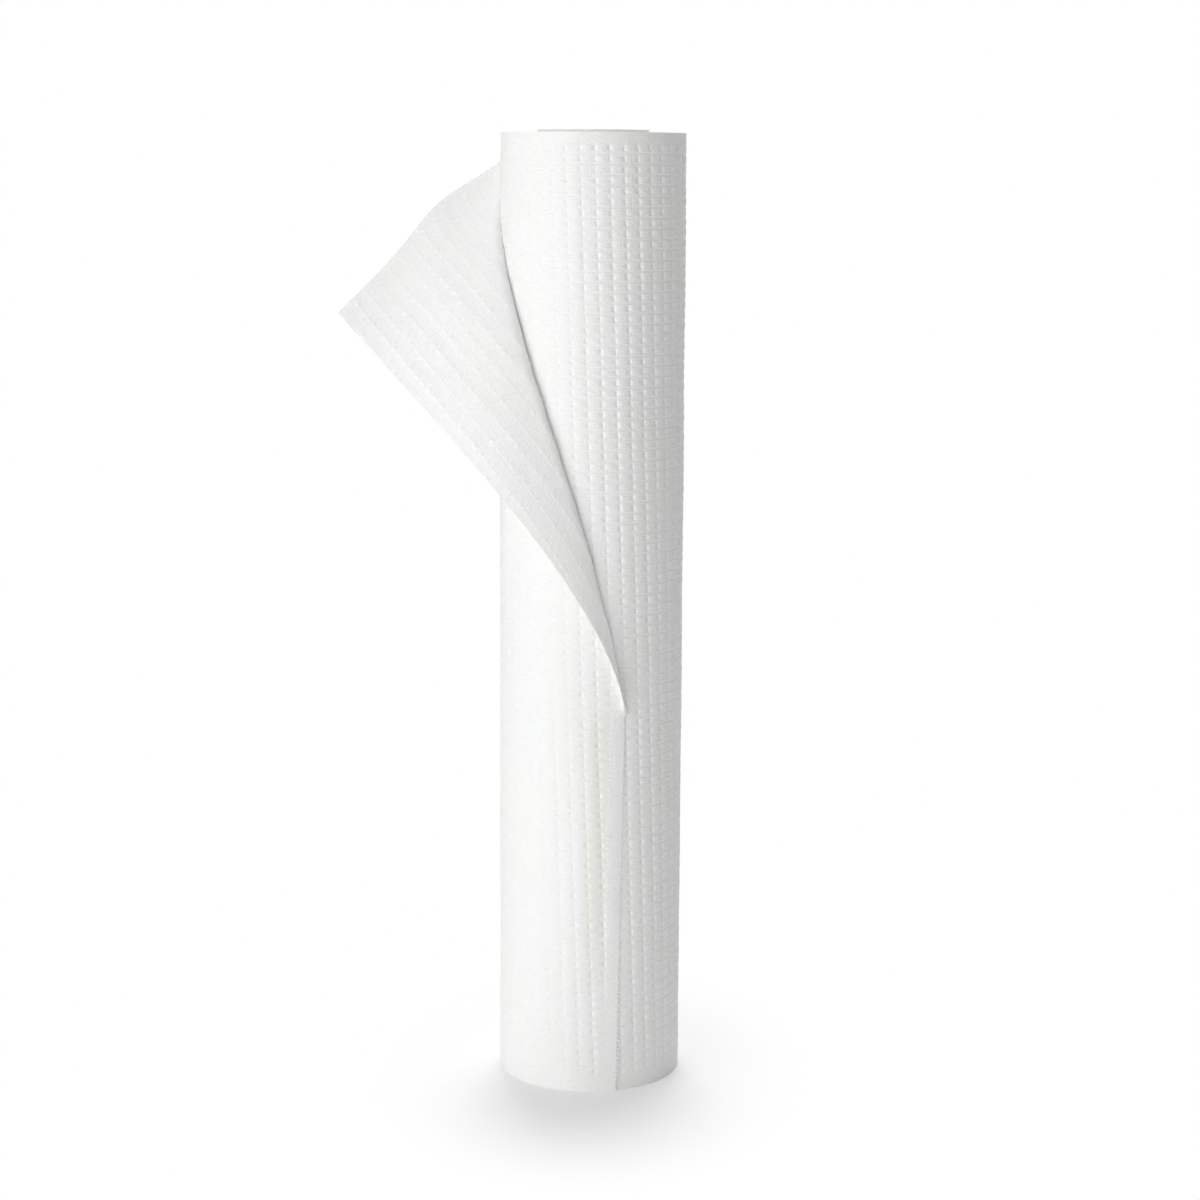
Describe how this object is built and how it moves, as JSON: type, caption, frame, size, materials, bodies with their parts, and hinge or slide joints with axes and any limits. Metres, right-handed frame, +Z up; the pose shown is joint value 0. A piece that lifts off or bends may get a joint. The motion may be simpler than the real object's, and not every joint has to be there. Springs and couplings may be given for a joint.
{
  "type": "exam table paper roll",
  "caption": "Upright roll of white embossed exam table paper on a board core, with the free corner of the web peeled off and turned back.",
  "frame": {"origin": "on the roll's axis at the lower end of the core and the wound web", "axes": "+Z up the roll's axis; -Y towards the free edge of the web and the peeled corner, which is turned back towards -X"},
  "size_m": [0.1792, 0.109, 0.5015],
  "materials": {
    "embossed_paper": "soft white tissue-like paper, waffle embossed, matt",
    "white_board": "pale spiral-wound board, cut square, matt"
  },
  "bodies": {
    "root": {"paper_web": "embossed_paper", "core_tube": "white_board"}
  },
  "joints": []
}
